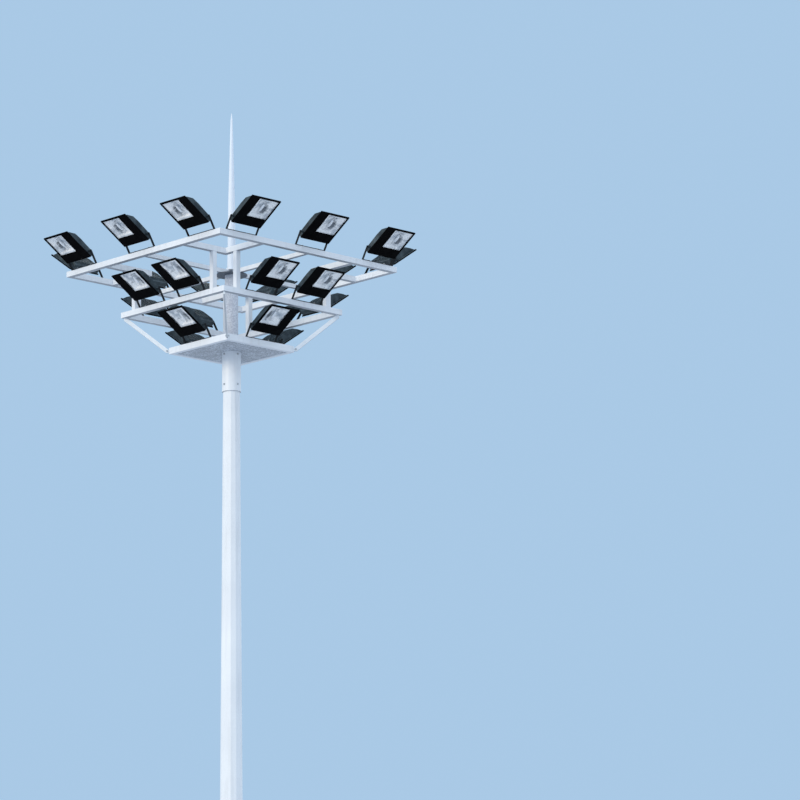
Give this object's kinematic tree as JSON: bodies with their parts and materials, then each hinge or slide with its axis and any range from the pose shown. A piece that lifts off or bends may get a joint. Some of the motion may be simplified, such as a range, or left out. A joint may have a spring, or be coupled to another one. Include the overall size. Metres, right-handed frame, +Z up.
{
  "type": "high mast floodlight tower",
  "caption": "Tapered twelve-sided steel mast on a bolted base flange, with a square tiered head of tube frames, tiltable floodlights and a lightning spike.",
  "frame": {"origin": "centre of the base flange's underside, on the ground", "axes": "+Z up along the mast, -Y towards the front side of the head, +X towards its right side"},
  "size_m": [4.4678, 4.4678, 23.609],
  "materials": {
    "mast_steel": "satin",
    "head_paint": "satin",
    "floor_paint": "satin",
    "spike_paint": "satin",
    "yoke_steel": "satin",
    "hub_steel": "satin",
    "housing": "satin"
  },
  "bodies": {
    "tower": {"mast_lower": "mast_steel", "mast_upper": "mast_steel", "base_flange": "mast_steel", "base_gussets": "mast_steel", "door_frame": "mast_steel", "service_door": "mast_steel", "head_sleeve": "mast_steel", "platform_rim": "head_paint", "platform_floor": "floor_paint", "head_pole": "head_paint", "hub_plate": "hub_steel", "long_cross_beam": "head_paint", "short_cross_beams": "head_paint", "top_tube_front": "head_paint", "top_tube_right": "head_paint", "top_tube_back": "head_paint", "top_tube_left": "head_paint", "corner_beams_long": "head_paint", "corner_beams_short": "head_paint", "middle_tubes_long": "head_paint", "middle_tubes_short": "head_paint", "frame_posts": "head_paint", "corner_struts": "head_paint", "lightning_spike": "spike_paint", "top_yokes": "yoke_steel", "middle_yokes": "yoke_steel", "bottom_yokes": "yoke_steel"},
    "floodlight_top_front_1": {"floodlight_top_front_1": "housing"},
    "floodlight_top_front_2": {"floodlight_top_front_2": "housing"},
    "floodlight_top_front_3": {"floodlight_top_front_3": "housing"},
    "floodlight_top_right_1": {"floodlight_top_right_1": "housing"},
    "floodlight_top_right_2": {"floodlight_top_right_2": "housing"},
    "floodlight_top_right_3": {"floodlight_top_right_3": "housing"},
    "floodlight_top_back_1": {"floodlight_top_back_1": "housing"},
    "floodlight_top_back_2": {"floodlight_top_back_2": "housing"},
    "floodlight_top_back_3": {"floodlight_top_back_3": "housing"},
    "floodlight_top_left_1": {"floodlight_top_left_1": "housing"},
    "floodlight_top_left_2": {"floodlight_top_left_2": "housing"},
    "floodlight_top_left_3": {"floodlight_top_left_3": "housing"},
    "floodlight_middle_front_1": {"floodlight_middle_front_1": "housing"},
    "floodlight_middle_front_2": {"floodlight_middle_front_2": "housing"},
    "floodlight_middle_right_1": {"floodlight_middle_right_1": "housing"},
    "floodlight_middle_right_2": {"floodlight_middle_right_2": "housing"},
    "floodlight_middle_back_1": {"floodlight_middle_back_1": "housing"},
    "floodlight_middle_back_2": {"floodlight_middle_back_2": "housing"},
    "floodlight_middle_left_1": {"floodlight_middle_left_1": "housing"},
    "floodlight_middle_left_2": {"floodlight_middle_left_2": "housing"},
    "floodlight_bottom_front_1": {"floodlight_bottom_front_1": "housing"},
    "floodlight_bottom_right_1": {"floodlight_bottom_right_1": "housing"},
    "floodlight_bottom_back_1": {"floodlight_bottom_back_1": "housing"},
    "floodlight_bottom_left_1": {"floodlight_bottom_left_1": "housing"}
  },
  "joints": [
    {"name": "top_front_1_tilt", "type": "hinge", "parent": "tower", "child": "floodlight_top_front_1", "pos_m": [-1.3, -1.795, 21.427], "axis": [-1, 0, 0], "range_deg": [-30, 50]},
    {"name": "top_front_2_tilt", "type": "hinge", "parent": "tower", "child": "floodlight_top_front_2", "pos_m": [0, -1.795, 21.427], "axis": [-1, 0, 0], "range_deg": [-30, 50]},
    {"name": "top_front_3_tilt", "type": "hinge", "parent": "tower", "child": "floodlight_top_front_3", "pos_m": [1.3, -1.795, 21.427], "axis": [-1, 0, 0], "range_deg": [-30, 50]},
    {"name": "top_right_1_tilt", "type": "hinge", "parent": "tower", "child": "floodlight_top_right_1", "pos_m": [1.795, -1.3, 21.427], "axis": [0, -1, 0], "range_deg": [-30, 50]},
    {"name": "top_right_2_tilt", "type": "hinge", "parent": "tower", "child": "floodlight_top_right_2", "pos_m": [1.795, 0, 21.427], "axis": [0, -1, 0], "range_deg": [-30, 50]},
    {"name": "top_right_3_tilt", "type": "hinge", "parent": "tower", "child": "floodlight_top_right_3", "pos_m": [1.795, 1.3, 21.427], "axis": [0, -1, 0], "range_deg": [-30, 50]},
    {"name": "top_back_1_tilt", "type": "hinge", "parent": "tower", "child": "floodlight_top_back_1", "pos_m": [1.3, 1.795, 21.427], "axis": [1, 0, 0], "range_deg": [-30, 50]},
    {"name": "top_back_2_tilt", "type": "hinge", "parent": "tower", "child": "floodlight_top_back_2", "pos_m": [0, 1.795, 21.427], "axis": [1, 0, 0], "range_deg": [-30, 50]},
    {"name": "top_back_3_tilt", "type": "hinge", "parent": "tower", "child": "floodlight_top_back_3", "pos_m": [-1.3, 1.795, 21.427], "axis": [1, 0, 0], "range_deg": [-30, 50]},
    {"name": "top_left_1_tilt", "type": "hinge", "parent": "tower", "child": "floodlight_top_left_1", "pos_m": [-1.795, 1.3, 21.427], "axis": [0, 1, 0], "range_deg": [-30, 50]},
    {"name": "top_left_2_tilt", "type": "hinge", "parent": "tower", "child": "floodlight_top_left_2", "pos_m": [-1.795, 0, 21.427], "axis": [0, 1, 0], "range_deg": [-30, 50]},
    {"name": "top_left_3_tilt", "type": "hinge", "parent": "tower", "child": "floodlight_top_left_3", "pos_m": [-1.795, -1.3, 21.427], "axis": [0, 1, 0], "range_deg": [-30, 50]},
    {"name": "middle_front_1_tilt", "type": "hinge", "parent": "tower", "child": "floodlight_middle_front_1", "pos_m": [-0.44, -1.231, 20.803], "axis": [-1, 0, 0], "range_deg": [-30, 20]},
    {"name": "middle_front_2_tilt", "type": "hinge", "parent": "tower", "child": "floodlight_middle_front_2", "pos_m": [0.44, -1.231, 20.803], "axis": [-1, 0, 0], "range_deg": [-30, 20]},
    {"name": "middle_right_1_tilt", "type": "hinge", "parent": "tower", "child": "floodlight_middle_right_1", "pos_m": [1.231, -0.44, 20.803], "axis": [0, -1, 0], "range_deg": [-30, 20]},
    {"name": "middle_right_2_tilt", "type": "hinge", "parent": "tower", "child": "floodlight_middle_right_2", "pos_m": [1.231, 0.44, 20.803], "axis": [0, -1, 0], "range_deg": [-30, 20]},
    {"name": "middle_back_1_tilt", "type": "hinge", "parent": "tower", "child": "floodlight_middle_back_1", "pos_m": [0.44, 1.231, 20.803], "axis": [1, 0, 0], "range_deg": [-30, 20]},
    {"name": "middle_back_2_tilt", "type": "hinge", "parent": "tower", "child": "floodlight_middle_back_2", "pos_m": [-0.44, 1.231, 20.803], "axis": [1, 0, 0], "range_deg": [-30, 20]},
    {"name": "middle_left_1_tilt", "type": "hinge", "parent": "tower", "child": "floodlight_middle_left_1", "pos_m": [-1.231, 0.44, 20.803], "axis": [0, 1, 0], "range_deg": [-30, 20]},
    {"name": "middle_left_2_tilt", "type": "hinge", "parent": "tower", "child": "floodlight_middle_left_2", "pos_m": [-1.231, -0.44, 20.803], "axis": [0, 1, 0], "range_deg": [-30, 20]},
    {"name": "bottom_front_1_tilt", "type": "hinge", "parent": "tower", "child": "floodlight_bottom_front_1", "pos_m": [0, -0.737, 20.27], "axis": [-1, 0, 0], "range_deg": [-30, 5]},
    {"name": "bottom_right_1_tilt", "type": "hinge", "parent": "tower", "child": "floodlight_bottom_right_1", "pos_m": [0.737, 0, 20.27], "axis": [0, -1, 0], "range_deg": [-30, 5]},
    {"name": "bottom_back_1_tilt", "type": "hinge", "parent": "tower", "child": "floodlight_bottom_back_1", "pos_m": [0, 0.737, 20.27], "axis": [1, 0, 0], "range_deg": [-30, 5]},
    {"name": "bottom_left_1_tilt", "type": "hinge", "parent": "tower", "child": "floodlight_bottom_left_1", "pos_m": [-0.737, 0, 20.27], "axis": [0, 1, 0], "range_deg": [-30, 5]}
  ]
}
